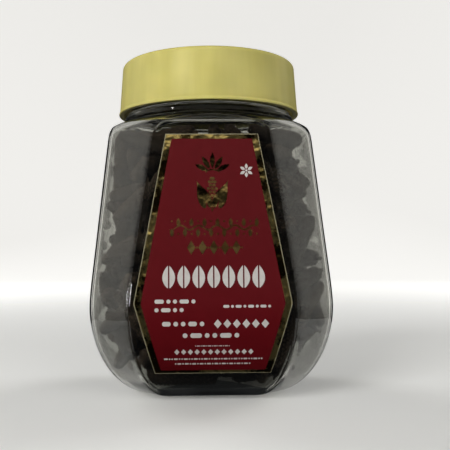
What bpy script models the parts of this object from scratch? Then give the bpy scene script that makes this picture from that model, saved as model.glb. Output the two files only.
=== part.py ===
"""A clear screw-top spice jar filled with long pepper.

Metres, +Z up. The label faces -Y, and the origin is the centre of the jar's foot.
"""

import math

import bmesh
import bpy
import numpy as np

MM = 0.001

# The jar's body is an octagon: four wide faces and four narrower corner faces.
# Each size is a face's distance from the axis.
BELLY_Z = 28.4 * MM
TAPER_TOP_Z = 78.0 * MM
FACE_BELLY = 35.3 * MM
FACE_TOP = 30.1 * MM
FACE_FOOT = 16.9 * MM
CORNER_BELLY = 41.9 * MM
CORNER_TOP = 33.1 * MM
CORNER_FOOT = 20.5 * MM
BELLY_CURVE = 2.05
RIDGE_SHARPNESS = 90.0

# Shoulder: a turned quarter ellipse that cuts the octagon's top
SHOULDER_LOW_Z = 73.8 * MM
SHOULDER_TOP_Z = 82.3 * MM
SHOULDER_R = 25.8 * MM
SHOULDER_REACH = 9.7 * MM

# Foot and walls
WALL = 1.0 * MM
FLOOR = 1.6 * MM
FOOT_INNER_R = 12.5 * MM
PUSH_UP = 2.5 * MM
PUSH_UP_R = 6.0 * MM

# Neck
COLLAR_R = 26.6 * MM
COLLAR_LOW_Z = 83.2 * MM
COLLAR_TOP_Z = 85.2 * MM
NECK_R = 24.6 * MM
BORE_R = 23.2 * MM
RIM_Z = 98.0 * MM
RIM_CHAMFER = 0.4 * MM

# Screw thread
PITCH = 4.0 * MM
THREAD_TURNS = 1.1
THREAD_SUNK = 0.4 * MM
THREAD_ROOT_HALF = 1.0 * MM
THREAD_CREST_HALF = 0.4 * MM
THREAD_RUN_OUT = 4
JAR_THREAD_Z = 89.2 * MM
JAR_THREAD_CREST_R = 25.6 * MM
CAP_THREAD_CREST_R = 24.95 * MM

# Cap
CAP_RIM_Z = 85.6 * MM
CAP_HEIGHT = 15.8 * MM
CAP_RIM_R = 28.45 * MM
CAP_SKIRT_R = 28.15 * MM
CAP_TOP_R = 27.2 * MM
CAP_BEAD = 0.9 * MM
CAP_EDGE_R = 1.6 * MM
CAP_WALL = 1.55 * MM
CAP_ROOF = 1.6 * MM
CAP_PANEL_R = 22.0 * MM
CAP_PANEL_DEPTH = 0.4 * MM

# Liner, between the rim and the roof of the cap
LINER_R = 24.3 * MM
LINER_LOW_Z = 98.3 * MM
LINER_THICK = 1.2 * MM

# Label: half widths at its bottom, at the belly and at its top
LABEL_GAP = 0.15 * MM
LABEL_THICK = 0.2 * MM
LABEL_LOW_Z = 8.8 * MM
LABEL_TOP_Z = 75.4 * MM
LABEL_LOW_HALF = 16.2 * MM
LABEL_BELLY_HALF = 21.7 * MM
LABEL_TOP_HALF = 12.9 * MM

# Long peppers
PEPPERS = 270
PEPPER_SEED = 7
PEPPER_R = 2.55 * MM
PEPPER_SHORTEST = 22.0 * MM
PEPPER_LONGEST = 31.0 * MM
PEPPER_BOW = 0.5 * MM
PEPPER_SIDES = 6
PEPPER_FULLNESS = 1.09
HEAP_TOP_Z = 79.5 * MM
HEAP_LOW_Z = 4.4 * MM
HEAP_CLEARANCE = 0.5 * MM
CORE_DEPTH = 4.3 * MM
CORE_TOP_Z = 75.0 * MM
SETTLING_ROUNDS = 260
SETTLED_ROUNDS = 40
LEAST_SHOWING = 1.2 * MM

LOWER_ROWS = 7
SHOULDER_ROWS = 5
TURNED_SIDES = 40
RIDGE_BAND = math.radians(2.5)
EIGHTH = math.pi / 4


def clear_scene():
    for old in list(bpy.data.objects):
        bpy.data.objects.remove(old, do_unlink=True)


def make_material(name, colour, roughness, metallic=0.0, transmission=0.0):
    material = bpy.data.materials.new(name)
    material.use_nodes = True
    shader = material.node_tree.nodes["Principled BSDF"]
    shader.inputs["Base Color"].default_value = (*colour, 1.0)
    shader.inputs["Roughness"].default_value = roughness
    shader.inputs["Metallic"].default_value = metallic
    shader.inputs["Transmission Weight"].default_value = transmission
    return material


def mesh_object(name, points, faces, material=None, smooth_under=math.radians(40)):
    """An object from points and faces, with its normals facing out and its round stretches smooth."""
    mesh = bpy.data.meshes.new(name)
    mesh.from_pydata([tuple(map(float, point)) for point in points], [], faces)
    shaped = bmesh.new()
    shaped.from_mesh(mesh)
    bmesh.ops.recalc_face_normals(shaped, faces=shaped.faces)
    shaped.to_mesh(mesh)
    shaped.free()
    mesh.shade_smooth()
    mesh.set_sharp_from_angle(angle=smooth_under)
    obj = bpy.data.objects.new(name, mesh)
    bpy.context.scene.collection.objects.link(obj)
    if material:
        mesh.materials.append(material)
    return obj


def skin(rings, start=None, end=None):
    """Points and faces of a surface through rings of equal count, closed by a point at either end."""
    points = [point for ring in rings for point in ring]
    count = len(rings[0])
    faces = []
    for row in range(len(rings) - 1):
        for i in range(count):
            j = (i + 1) % count
            low, high = row * count, (row + 1) * count
            faces.append((low + i, low + j, high + j, high + i))
    for pole, base in ((start, 0), (end, (len(rings) - 1) * count)):
        if pole is not None:
            points.append(pole)
            faces += [(base + i, base + (i + 1) % count, len(points) - 1) for i in range(count)]
    return points, faces


def fuse(target, others, solver="EXACT"):
    """Joins the other objects into the target with one Boolean union, then removes them."""
    group = bpy.data.collections.new(target.name + "_pieces")
    bpy.context.scene.collection.children.link(group)
    for other in others:
        bpy.context.scene.collection.objects.unlink(other)
        group.objects.link(other)
    union = target.modifiers.new("Union", "BOOLEAN")
    union.operation = "UNION"
    union.solver = solver
    union.operand_type = "COLLECTION"
    union.collection = group
    graph = bpy.context.evaluated_depsgraph_get()
    joined = bpy.data.meshes.new_from_object(target.evaluated_get(graph))
    target.modifiers.clear()
    target.data = joined
    for other in others:
        bpy.data.objects.remove(other, do_unlink=True)
    bpy.data.collections.remove(group)


def section_sizes(z, inset=0.0, floor=0.0):
    """Distances of the wide faces, the corner faces and the shoulder circle from the axis at height z.

    An inset moves the surface inwards, and the floor is where its lower curve ends.
    """
    z = np.asarray(z, float)
    rise = np.clip((z - BELLY_Z) / (TAPER_TOP_Z - BELLY_Z), 0, None)
    drop = np.clip((BELLY_Z - z) / (BELLY_Z - floor), 0, 1)
    tuck = 1 - (1 - drop**BELLY_CURVE) ** (1 / BELLY_CURVE)
    face = FACE_BELLY - inset + (FACE_TOP - FACE_BELLY) * rise - (FACE_BELLY - inset - FACE_FOOT) * tuck
    corner = CORNER_BELLY - inset + (CORNER_TOP - CORNER_BELLY) * rise
    corner = corner - (CORNER_BELLY - inset - CORNER_FOOT) * tuck
    climb = np.clip((z - SHOULDER_LOW_Z) / (SHOULDER_TOP_Z - inset - SHOULDER_LOW_Z), 0, 1)
    shoulder = SHOULDER_R + (SHOULDER_REACH - inset) * np.sqrt(1 - climb**2)
    return face, corner, shoulder + np.clip(SHOULDER_LOW_Z - z, 0, None)


def section_radius(angle, sizes):
    """The jar's radius at an angle: the nearest of its faces and its shoulder, with rounded ridges."""
    face, corner, shoulder = sizes
    total = shoulder**-RIDGE_SHARPNESS
    for k in range(8):
        facing = max(0.0, math.cos(angle - k * EIGHTH))
        total += (facing / (corner if k % 2 else face)) ** RIDGE_SHARPNESS
    return total ** (-1 / RIDGE_SHARPNESS)


def ridge_angle(sizes):
    """The angle from a wide face's middle to its ridge."""
    face, corner, _ = sizes
    return math.atan2(math.sqrt(2) * corner - face, face)


def ring_angles(sizes, turned):
    """Forty angles that keep close to the ridges, or that are even where turned is 1."""
    ridge = float(ridge_angle(sizes))
    half_quarter = [0, ridge / 2, ridge - RIDGE_BAND, ridge, ridge + RIDGE_BAND]
    quarter = half_quarter + [EIGHTH] + [2 * EIGHTH - a for a in reversed(half_quarter[1:])]
    angles = [a + q * 2 * EIGHTH for q in range(4) for a in quarter]
    return [a + turned * (i * 2 * math.pi / len(angles) - a) for i, a in enumerate(angles)]


def octagon_ring(z, inset=0.0, floor=0.0):
    """A ring of the body's surface, turning from octagon to circle over the shoulder."""
    sizes = section_sizes(z, inset, floor)
    turned = min(1.0, max(0.0, (z - SHOULDER_LOW_Z) / (SHOULDER_TOP_Z - inset - SHOULDER_LOW_Z)))
    ring = []
    for angle in ring_angles(sizes, turned):
        radius = section_radius(angle, sizes)
        ring.append((radius * math.cos(angle), radius * math.sin(angle), z))
    return ring


def round_ring(radius, z, count=TURNED_SIDES):
    steps = [i * 2 * math.pi / count for i in range(count)]
    return [(radius * math.cos(a), radius * math.sin(a), z) for a in steps]


def body_heights(inset=0.0, floor=0.0):
    """Heights of the body's rings, from the foot to the top of the shoulder."""
    lower = []
    for row in range(LOWER_ROWS):
        drop = math.cos(row / LOWER_ROWS * math.pi / 2) ** (2 / BELLY_CURVE)
        lower.append(BELLY_Z - drop * (BELLY_Z - floor))
    climb = SHOULDER_TOP_Z - inset - SHOULDER_LOW_Z
    rows = range(SHOULDER_ROWS + 1)
    upper = [SHOULDER_LOW_Z + climb * math.sin(row / SHOULDER_ROWS * math.pi / 2) for row in rows]
    return lower + [BELLY_Z] + upper


def make_thread(name, wall_radius, crest_radius, start_z):
    """A right-handed ridge of trapezoid section that sinks into the wall at both ends."""
    steps = round(THREAD_TURNS * TURNED_SIDES)
    outward = math.copysign(1.0, crest_radius - wall_radius)
    root = wall_radius - outward * THREAD_SUNK
    hidden = wall_radius - outward * THREAD_SUNK / 2
    points, faces = [], []
    for step in range(steps + 1):
        angle = step * 2 * math.pi / TURNED_SIDES
        z = start_z + PITCH * step / TURNED_SIDES
        shown = min(1.0, step / THREAD_RUN_OUT, (steps - step) / THREAD_RUN_OUT)
        crest = hidden + (crest_radius - hidden) * shown
        section = (
            (root, -THREAD_ROOT_HALF),
            (crest, -THREAD_CREST_HALF),
            (crest, THREAD_CREST_HALF),
            (root, THREAD_ROOT_HALF),
        )
        points += [(r * math.cos(angle), r * math.sin(angle), z + dz) for r, dz in section]
    for step in range(steps):
        base = 4 * step
        for i in range(4):
            j = (i + 1) % 4
            faces.append((base + i, base + j, base + 4 + j, base + 4 + i))
    faces += [(0, 1, 2, 3), (4 * steps + 3, 4 * steps + 2, 4 * steps + 1, 4 * steps)]
    return mesh_object(name, points, faces)


def make_jar():
    """The clear shell: one skin from under the foot, up the outside, over the rim and down the inside."""
    outside = [octagon_ring(z) for z in body_heights()]
    neck = [
        round_ring(SHOULDER_R - 0.4 * MM, SHOULDER_TOP_Z + 0.5 * MM),
        round_ring(COLLAR_R, COLLAR_LOW_Z),
        round_ring(COLLAR_R, COLLAR_TOP_Z),
        round_ring(NECK_R, COLLAR_TOP_Z + 0.8 * MM),
        round_ring(NECK_R, RIM_Z - RIM_CHAMFER),
        round_ring(NECK_R - RIM_CHAMFER, RIM_Z),
        round_ring(BORE_R + RIM_CHAMFER, RIM_Z),
        round_ring(BORE_R, RIM_Z - RIM_CHAMFER),
        round_ring(BORE_R, SHOULDER_TOP_Z),
        round_ring(BORE_R + 0.8 * MM, SHOULDER_TOP_Z - 0.8 * MM),
    ]
    inside = [octagon_ring(z, WALL, FLOOR) for z in reversed(body_heights(WALL, FLOOR))]
    underside = [round_ring(PUSH_UP_R, PUSH_UP - 0.3 * MM), round_ring(FOOT_INNER_R, 0.0)]
    floor = [
        round_ring(FOOT_INNER_R - 0.5 * MM, FLOOR),
        round_ring(PUSH_UP_R - 0.5 * MM, PUSH_UP + FLOOR - 0.3 * MM),
    ]
    rings = underside + outside + neck + inside + floor
    points, faces = skin(rings, (0, 0, PUSH_UP), (0, 0, PUSH_UP + FLOOR))
    clear = make_material("clear_plastic", (0.93, 0.95, 0.94), 0.06, transmission=1.0)
    jar = mesh_object("jar", points, faces, clear)
    fuse(jar, [make_thread("neck_thread", NECK_R, JAR_THREAD_CREST_R, JAR_THREAD_Z)])
    return jar


def make_cap():
    """The screw cap, its profile given as radius and height above its rim."""
    edge_z = CAP_HEIGHT - CAP_EDGE_R
    roof_z = CAP_HEIGHT - CAP_ROOF
    profile = [
        (CAP_RIM_R - CAP_WALL, 0.0),
        (CAP_RIM_R - 0.15 * MM, 0.0),
        (CAP_RIM_R, 0.15 * MM),
        (CAP_RIM_R, CAP_BEAD),
        (CAP_SKIRT_R, CAP_BEAD + 0.3 * MM),
    ]
    for step in range(5):
        turn = step / 4 * math.pi / 2
        profile.append((CAP_TOP_R - CAP_EDGE_R * (1 - math.cos(turn)), edge_z + CAP_EDGE_R * math.sin(turn)))
    profile += [
        (CAP_PANEL_R, CAP_HEIGHT),
        (CAP_PANEL_R - CAP_PANEL_DEPTH, CAP_HEIGHT - CAP_PANEL_DEPTH),
    ]
    hollow = [
        (CAP_TOP_R - CAP_WALL - 1.0 * MM, roof_z),
        (CAP_TOP_R - CAP_WALL, roof_z - 1.0 * MM),
    ]
    rings = [round_ring(r, z) for r, z in profile]
    lining = [round_ring(r, z) for r, z in hollow]
    outer_points, outer_faces = skin(rings, end=(0, 0, CAP_HEIGHT - CAP_PANEL_DEPTH))
    inner_points, inner_faces = skin([lining[0], lining[1], rings[0]], start=(0, 0, roof_z))
    shift = len(outer_points)
    points = outer_points + inner_points
    faces = outer_faces + [tuple(i + shift for i in face) for face in inner_faces]
    plastic = make_material("yellow_plastic", (0.62, 0.55, 0.16), 0.35)
    cap = mesh_object("cap", points, faces, plastic)
    shaped = bmesh.new()
    shaped.from_mesh(cap.data)
    bmesh.ops.remove_doubles(shaped, verts=shaped.verts, dist=1e-6)
    bmesh.ops.recalc_face_normals(shaped, faces=shaped.faces)
    shaped.to_mesh(cap.data)
    shaped.free()
    thread_z = JAR_THREAD_Z - PITCH / 2 - CAP_RIM_Z
    wall_radius = CAP_RIM_R - CAP_WALL - 0.3 * MM
    fuse(cap, [make_thread("cap_thread", wall_radius, CAP_THREAD_CREST_R, thread_z)])
    cap.location.z = CAP_RIM_Z
    return cap


def make_liner():
    rings = [round_ring(LINER_R, 0.0), round_ring(LINER_R, LINER_THICK)]
    points, faces = skin(rings, (0, 0, 0), (0, 0, LINER_THICK))
    liner = mesh_object("liner", points, faces, make_material("liner_board", (0.8, 0.8, 0.76), 0.6))
    liner.location.z = LINER_LOW_Z
    return liner


def label_half_width(z):
    if z < BELLY_Z:
        return LABEL_LOW_HALF + (LABEL_BELLY_HALF - LABEL_LOW_HALF) * (z - LABEL_LOW_Z) / (BELLY_Z - LABEL_LOW_Z)
    return LABEL_BELLY_HALF + (LABEL_TOP_HALF - LABEL_BELLY_HALF) * (z - BELLY_Z) / (LABEL_TOP_Z - BELLY_Z)


def make_label():
    """A thin sheet that follows the front face, from under the belly to below the shoulder."""
    heights = [LABEL_LOW_Z] + [z for z in body_heights() if LABEL_LOW_Z < z < SHOULDER_LOW_Z] + [LABEL_TOP_Z]
    step = 0.05 * MM
    rings = []
    for z in heights:
        face = float(section_sizes(z)[0])
        slope = (face - float(section_sizes(z - step)[0])) / step
        length = math.hypot(1.0, slope)
        half = label_half_width(z)
        ring = []
        for x, off in ((-half, 0), (half, 0), (half, LABEL_THICK), (-half, LABEL_THICK)):
            lift = LABEL_GAP + off
            ring.append((x, -face - lift / length, z - lift * slope / length))
        rings.append(ring)
    points, faces = skin(rings)
    faces += [(0, 1, 2, 3), tuple(len(points) - 1 - i for i in range(4))]
    return mesh_object("label", points, faces, make_material("label_foil", (0.11, 0.004, 0.008), 0.4))


def nearest_points(a, b):
    """For every pair of spikes, how far along each one its nearest point to the other lies, from 0 to 1."""
    run = b - a
    offset = a[:, None] - a[None]
    squares = (run * run).sum(1)
    cross = run @ run.T
    along_first = (run[:, None] * offset).sum(2)
    along_second = (run[None] * offset).sum(2)
    spread = np.maximum(squares[:, None] * squares[None] - cross**2, 1e-18)
    s = np.clip((cross * along_second - along_first * squares[None]) / spread, 0, 1)
    t = np.clip((cross * s + along_second) / squares[None], 0, 1)
    s = np.clip((cross * t - along_first) / squares[:, None], 0, 1)
    return s, t


def shift_spikes(a, b, spike, share, push):
    """Moves the two ends of each pushed spike, so that its point at that share moves by the push."""
    weight = 1 / ((1 - share) ** 2 + share**2)
    np.add.at(a, spike, push * ((1 - share) * weight)[:, None])
    np.add.at(b, spike, push * (share * weight)[:, None])


def keep_inside(a, b, radius):
    """Pushes spikes back from the jar's inner faces, its shoulder, its floor and the top of the heap."""
    inset = WALL + HEAP_CLEARANCE + radius
    count = len(a)
    spikes = np.arange(count)
    for share in (0.0, 0.25, 0.5, 0.75, 1.0):
        shares = np.full(count, share)
        for k in range(8):
            point = a + share * (b - a)
            sizes = section_sizes(np.clip(point[:, 2], HEAP_LOW_Z + radius, None), inset, FLOOR + radius)
            facing = np.array((math.cos(k * EIGHTH), math.sin(k * EIGHTH), 0.0))
            excess = np.clip(point @ facing - sizes[k % 2], 0, None)
            shift_spikes(a, b, spikes, shares, -excess[:, None] * facing)
        point = a + share * (b - a)
        away = np.hypot(point[:, 0], point[:, 1])
        sizes = section_sizes(point[:, 2], inset)
        excess = np.clip(away - sizes[2], 0, None) / np.maximum(away, 1e-6)
        push = -point * excess[:, None]
        push[:, 2] = np.clip(HEAP_LOW_Z + radius - point[:, 2], 0, None)
        push[:, 2] -= np.clip(point[:, 2] - (HEAP_TOP_Z - radius), 0, None)
        shift_spikes(a, b, spikes, shares, push)


def restore_lengths(a, b, lengths):
    middle = (a + b) / 2
    run = b - a
    run *= (lengths / np.linalg.norm(run, axis=1))[:, None] / 2
    a[:] = middle - run
    b[:] = middle + run


def settle_peppers():
    """Where each spike lies: dropped in at random by a seeded draw, then pushed apart until they fit."""
    rng = np.random.default_rng(PEPPER_SEED)
    lengths = rng.uniform(PEPPER_SHORTEST, PEPPER_LONGEST, PEPPERS) - 2 * PEPPER_R
    middle = rng.uniform((-1, -1, 0), (1, 1, 1), (PEPPERS, 3))
    middle *= (FACE_BELLY, FACE_BELLY, HEAP_TOP_Z)
    way = rng.normal(size=(PEPPERS, 3)) * (1.0, 1.0, 0.8)
    way *= (lengths / np.linalg.norm(way, axis=1))[:, None] / 2
    a, b = middle - way, middle + way
    first, second = np.triu_indices(PEPPERS, 1)
    for step in range(SETTLING_ROUNDS):
        radius = PEPPER_R * min(1.0, 0.4 + step / SETTLING_ROUNDS)
        s, t = nearest_points(a, b)
        s, t = s[first, second], t[first, second]
        gap = a[first] + s[:, None] * (b - a)[first] - a[second] - t[:, None] * (b - a)[second]
        distance = np.maximum(np.linalg.norm(gap, axis=1), 1e-6)
        near = distance < 2 * radius
        push = gap[near] * ((2 * radius - distance[near]) / distance[near] * 0.4)[:, None]
        shift_spikes(a, b, first[near], s[near], push)
        shift_spikes(a, b, second[near], t[near], -push)
        restore_lengths(a, b, lengths)
        keep_inside(a, b, radius)
        restore_lengths(a, b, lengths)
    for _ in range(SETTLED_ROUNDS):
        keep_inside(a, b, PEPPER_R)
        restore_lengths(a, b, lengths)
    return a, b


def core_rings():
    """The heap's core: the jar's form drawn in by the core's depth."""
    inset = WALL + CORE_DEPTH
    floor = HEAP_LOW_Z + CORE_DEPTH
    heights = [floor + 0.2 * MM, 14 * MM, 20 * MM, BELLY_Z, SHOULDER_LOW_Z, CORE_TOP_Z]
    rings = []
    for z in heights:
        sizes = section_sizes(z, inset, floor)
        ridge = ridge_angle(sizes)
        angles = [q * 2 * EIGHTH + side * ridge for q in range(4) for side in (-1, 1)]
        reach = [min(section_radius(angle, sizes), float(sizes[2])) for angle in angles]
        rings.append([(r * math.cos(a), r * math.sin(a), z) for r, a in zip(reach, angles)])
    return rings


def showing(a, b):
    """How far each spike stands out of the core, at the most."""
    inset = WALL + CORE_DEPTH
    most = np.full(len(a), -1.0)
    for share in np.linspace(0, 1, 7):
        point = a + share * (b - a)
        sizes = section_sizes(np.clip(point[:, 2], HEAP_LOW_Z + CORE_DEPTH, None), inset, HEAP_LOW_Z + CORE_DEPTH)
        for k in range(8):
            facing = np.array((math.cos(k * EIGHTH), math.sin(k * EIGHTH), 0.0))
            most = np.maximum(most, point @ facing + PEPPER_R - sizes[k % 2])
        most = np.maximum(most, point[:, 2] + PEPPER_R - CORE_TOP_Z)
        most = np.maximum(most, HEAP_LOW_Z + CORE_DEPTH - point[:, 2] + PEPPER_R)
    return most


def make_spike(name, a, b):
    """One dried fruit spike: slim, six-sided, as full as a round one, and bowed a little inwards."""
    run = b - a
    length = np.linalg.norm(run)
    way = run / length
    inward = -(a + b) / 2
    inward -= way * (inward @ way)
    side = inward / np.linalg.norm(inward)
    up = np.cross(way, side)
    start, whole = a - way * PEPPER_R, length + 2 * PEPPER_R
    reach = PEPPER_R * PEPPER_FULLNESS
    rings = []
    for share, fullness in ((0.02, 0.45), (0.11, 0.93), (0.45, 1.0), (0.88, 0.76), (1.0, 0.25)):
        bow = PEPPER_BOW * (1 - (2 * share - 1) ** 2)
        centre = start + way * whole * share + side * bow
        ring = []
        for i in range(PEPPER_SIDES):
            turn = i * 2 * math.pi / PEPPER_SIDES
            ring.append(centre + reach * fullness * (side * math.cos(turn) + up * math.sin(turn)))
        rings.append(ring)
    points, faces = skin(rings)
    last = len(points) - 1
    faces += [tuple(reversed(range(PEPPER_SIDES))), tuple(last - i for i in reversed(range(PEPPER_SIDES)))]
    return mesh_object(name, points, faces)


def make_long_peppers():
    """The heap: every spike that shows at its outside, fused to a core that stands for those within."""
    a, b = settle_peppers()
    shown = np.flatnonzero(showing(a, b) > LEAST_SHOWING)
    rings = core_rings()
    points, faces = skin(rings)
    last = len(points) - 1
    faces += [tuple(reversed(range(8))), tuple(last - i for i in reversed(range(8)))]
    dried = make_material("dried_fruit", (0.045, 0.028, 0.018), 0.8)
    heap = mesh_object("long_peppers", points, faces, dried)
    spikes = [make_spike(f"spike_{i:03d}", a[i], b[i]) for i in shown]
    print(len(spikes), "spikes show")
    fuse(heap, spikes, "MANIFOLD")
    return heap


def main():
    clear_scene()
    whole = bpy.data.objects.new("spice_jar", None)
    bpy.context.scene.collection.objects.link(whole)
    for piece in (make_jar(), make_label(), make_long_peppers(), make_liner(), make_cap()):
        piece.parent = whole


main()
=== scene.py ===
"""The looks of a clear screw-top spice jar filled with long pepper. Metres, +Z up, label facing -Y."""

import math

import bpy
import numpy as np
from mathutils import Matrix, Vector
from mathutils.geometry import tessellate_polygon


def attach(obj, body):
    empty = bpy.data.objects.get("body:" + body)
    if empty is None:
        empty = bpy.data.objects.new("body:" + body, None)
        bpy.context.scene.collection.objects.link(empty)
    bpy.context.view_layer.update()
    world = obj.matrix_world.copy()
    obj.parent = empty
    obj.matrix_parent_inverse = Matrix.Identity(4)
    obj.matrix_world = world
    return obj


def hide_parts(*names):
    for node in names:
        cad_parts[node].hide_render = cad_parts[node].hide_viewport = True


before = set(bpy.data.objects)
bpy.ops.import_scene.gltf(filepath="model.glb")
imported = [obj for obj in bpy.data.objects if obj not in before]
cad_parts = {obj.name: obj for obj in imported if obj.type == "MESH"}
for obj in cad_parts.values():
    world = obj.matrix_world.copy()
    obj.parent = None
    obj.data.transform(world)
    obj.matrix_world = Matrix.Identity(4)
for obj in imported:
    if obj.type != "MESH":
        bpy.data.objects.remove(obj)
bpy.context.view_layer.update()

MM = 0.001
TURN = 2 * math.pi
EIGHTH = math.pi / 4

# The jar's section, as in the part's source
BELLY_Z = 28.4 * MM
TAPER_TOP_Z = 78.0 * MM
FACE_BELLY = 35.3 * MM
FACE_TOP = 30.1 * MM
FACE_FOOT = 16.9 * MM
CORNER_BELLY = 41.9 * MM
CORNER_TOP = 33.1 * MM
CORNER_FOOT = 20.5 * MM
BELLY_CURVE = 2.05
RIDGE_SHARPNESS = 90.0
SHOULDER_LOW_Z = 73.8 * MM
SHOULDER_TOP_Z = 82.3 * MM
SHOULDER_R = 25.8 * MM
SHOULDER_REACH = 9.7 * MM
WALL = 1.0 * MM
FLOOR = 1.6 * MM
FOOT_INNER_R = 12.5 * MM
PUSH_UP = 2.5 * MM

# Neck, thread and cap, as in the part's source
COLLAR_R = 26.6 * MM
COLLAR_LOW_Z = 83.2 * MM
COLLAR_TOP_Z = 85.2 * MM
NECK_R = 24.6 * MM
BORE_R = 23.2 * MM
RIM_Z = 98.0 * MM
RIM_CHAMFER = 0.4 * MM
PITCH = 4.0 * MM
THREAD_TURNS = 1.1
THREAD_ROOT_HALF = 1.0 * MM
THREAD_CREST_HALF = 0.4 * MM
THREAD_RUN_OUT = 0.1
JAR_THREAD_Z = 89.2 * MM
JAR_THREAD_CREST_R = 25.6 * MM
CAP_THREAD_CREST_R = 24.95 * MM
CAP_RIM_Z = 85.6 * MM
CAP_HEIGHT = 15.8 * MM
CAP_RIM_R = 28.45 * MM
CAP_SKIRT_R = 28.15 * MM
CAP_TOP_R = 27.2 * MM
CAP_BEAD = 0.9 * MM
CAP_EDGE_R = 1.6 * MM
CAP_WALL = 1.55 * MM
CAP_ROOF = 1.6 * MM
CAP_PANEL_R = 22.0 * MM
CAP_PANEL_DEPTH = 0.4 * MM

# Label, as in the part's source
LABEL_GAP = 0.15 * MM
LABEL_LOW_Z = 8.8 * MM
LABEL_TOP_Z = 75.4 * MM
LABEL_LOW_HALF = 16.2 * MM
LABEL_BELLY_HALF = 21.7 * MM
LABEL_TOP_HALF = 12.9 * MM

# Long peppers, as in the part's source
PEPPERS = 270
PEPPER_SEED = 7
PEPPER_R = 2.55 * MM
PEPPER_SHORTEST = 22.0 * MM
PEPPER_LONGEST = 31.0 * MM
PEPPER_BOW = 0.5 * MM
HEAP_TOP_Z = 79.5 * MM
HEAP_LOW_Z = 4.4 * MM
HEAP_CLEARANCE = 0.5 * MM
SETTLING_ROUNDS = 260
SETTLED_ROUNDS = 40

# Finer relief that only the looks have
FRUIT_ROW = 1.12 * MM
FRUITS_FROM = 0.06
FRUITS_TO = 0.985
FRUIT_RELIEF = 0.23 * MM
FRUITS_ROUND = 12
PEPPERS_A_PIECE = 68
BELLY_SOFT = 6.0 * MM
PANEL_INSET = 1.5 * MM
PANEL_BEAD = 0.22 * MM
PANEL_BEAD_HALF = 0.55 * MM
PANEL_TOP_Z = 80.4 * MM
PANEL_CORNER_R = 4.5 * MM

# The push-up foot's profile: share of its radius, share of its height
DOME = ((0.96, 0.02), (0.9, 0.1), (0.75, 0.4), (0.5, 0.75), (0.25, 0.94))

# A spike's profile: share of its length, share of its radius
SPIKE_PROFILE = (
    (0.0, 0.0), (0.003, 0.22), (0.05, 0.26), (0.06, 0.5), (0.085, 0.8), (0.13, 0.95), (0.3, 1.0),
    (0.55, 0.97), (0.8, 0.84), (0.92, 0.68), (0.97, 0.5), (0.992, 0.28), (1.0, 0.0),
)
STALK_SHARES = (0.05, 0.003)
FIRST_CROWN = 0.55
SPARE_ROW = 0.1
FRUIT_UNEVEN = 0.3
FRUIT_ASTRAY = 0.07
FRUITS_TWIST = 1.4
SPIKE_UNEVEN = 0.05
SPIKE_LEAST_R = 0.1 * MM
SPIKE_MOST_R = PEPPER_R + 0.25 * MM

# How the heap settles
GROWN_AT_START = 0.4
FLATTENED = 0.8
PUSHED_APART = 0.4
SHARES_KEPT_INSIDE = (0.0, 0.25, 0.5, 0.75, 1.0)

# Rings and steps of the finer surfaces
LOWER_RINGS = 30
TAPER_RINGS = 12
SHOULDER_RINGS = 36
INNER_LOWER_RINGS = 24
INNER_SHOULDER_RINGS = 20
MOUTH_STEPS = 8
SKIRT_RINGS = 6
CAP_EDGE_STEPS = 12
THREAD_RING_STEP = 0.25 * MM
RIDGE_STEPS = np.radians([
    -7, -5.5, -4.6, -4.0, -3.5, -3.0, -2.5, -2, -1.5, -1, -0.5, 0, 0.5, 1, 1.5, 2, 2.6, 3.4, 4.5,
])
FLAT_STEPS = np.array([0.0, 0.2, 0.4, 0.6, 0.8])

# The neck's outline below its thread and inside its mouth: radius and height
NECK_PROFILE = (
    (SHOULDER_R - 0.25 * MM, SHOULDER_TOP_Z + 0.3 * MM),
    (SHOULDER_R - 0.2 * MM, COLLAR_LOW_Z - 0.15 * MM),
    (COLLAR_R - 0.25 * MM, COLLAR_LOW_Z),
    (COLLAR_R, COLLAR_LOW_Z + 0.3 * MM),
    (COLLAR_R, COLLAR_TOP_Z - 0.3 * MM),
    (COLLAR_R - 0.25 * MM, COLLAR_TOP_Z),
    (NECK_R + 0.5 * MM, COLLAR_TOP_Z + 0.2 * MM),
    (NECK_R, COLLAR_TOP_Z + 0.8 * MM),
)
THREAD_LOW_Z = COLLAR_TOP_Z + 1.2 * MM
THREAD_TOP_Z = RIM_Z - 0.8 * MM
BORE_PROFILE = (
    (BORE_R, 92 * MM),
    (BORE_R, SHOULDER_TOP_Z),
    (BORE_R + 0.3 * MM, SHOULDER_TOP_Z - 0.5 * MM),
    (BORE_R + 0.9 * MM, SHOULDER_TOP_Z - 0.9 * MM),
)

# The cap's outline at its rim and on its top: radius and height above the rim
SKIRT_LOW_Z = CAP_BEAD + 0.4 * MM
SKIRT_SHARES = (0.1, 0.9)
LINING_LOW_Z = 0.3 * MM
LINING_BEND = 1.0 * MM
CAP_RIM_PROFILE = (
    (CAP_RIM_R - CAP_WALL, 0.05 * MM),
    (CAP_RIM_R - CAP_WALL + 0.1 * MM, 0.0),
    (CAP_RIM_R - 0.2 * MM, 0.0),
    (CAP_RIM_R - 0.05 * MM, 0.08 * MM),
    (CAP_RIM_R, 0.25 * MM),
    (CAP_RIM_R - 0.02 * MM, 0.5 * MM),
    (CAP_RIM_R - 0.12 * MM, 0.75 * MM),
    (CAP_SKIRT_R + 0.03 * MM, 0.98 * MM),
    (CAP_SKIRT_R - 0.03 * MM, 1.1 * MM),
    (CAP_SKIRT_R, SKIRT_LOW_Z),
)
CAP_PANEL_Z = CAP_HEIGHT - CAP_PANEL_DEPTH
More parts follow.
